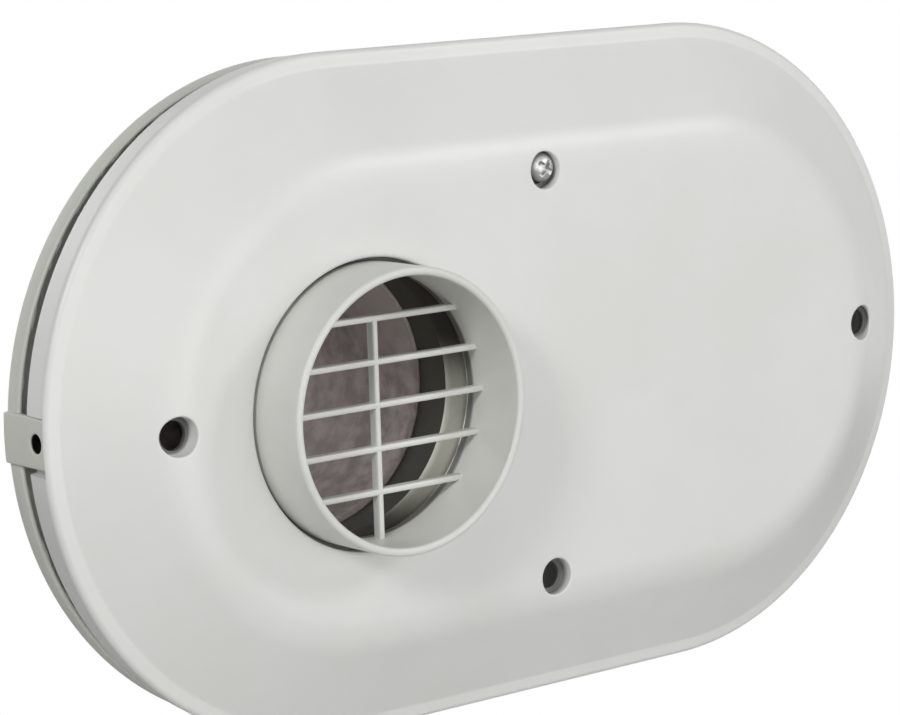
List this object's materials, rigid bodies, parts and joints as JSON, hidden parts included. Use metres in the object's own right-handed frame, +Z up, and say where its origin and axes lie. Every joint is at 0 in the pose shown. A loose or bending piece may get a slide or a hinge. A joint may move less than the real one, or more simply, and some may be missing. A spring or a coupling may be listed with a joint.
{
  "type": "wall vent",
  "caption": "Oblong flue and air wall terminal: moulded cover with a round slatted outlet at one end, an air slot all round, a back plate and rear duct stubs.",
  "frame": {"origin": "middle of the back plate's rear face, which lies on the wall", "axes": "+X along the length towards the air intake end, +Y into the wall, +Z up"},
  "size_m": [0.2398, 0.082, 0.144],
  "materials": {
    "cover_plastic": "satin off-white moulding",
    "spigot_plastic": "satin off-white moulding",
    "plate_plastic": "satin off-white moulding",
    "intake_plastic": "matt dark grey moulding",
    "zinc_screws": "zinc plated",
    "screw_steel": "stainless steel, as turned",
    "collar_steel": "drawn stainless steel",
    "flue_steel": "stainless steel, dulled and tinted by heat",
    "seal_rubber": "matt black silicone",
    "insert_brass": "turned",
    "gasket_foam": "closed-cell foam"
  },
  "bodies": {
    "root": {"front_cover": "cover_plastic", "outlet_spigot": "spigot_plastic", "spigot_screws": "zinc_screws", "flue_collar": "collar_steel", "flue_seal": "seal_rubber", "flue_pipe": "flue_steel", "flue_screws": "zinc_screws", "intake_collar": "intake_plastic", "intake_screws": "zinc_screws", "back_plate": "plate_plastic", "boss_inserts": "insert_brass", "cover_screw": "screw_steel", "wall_gasket": "gasket_foam"}
  },
  "joints": []
}
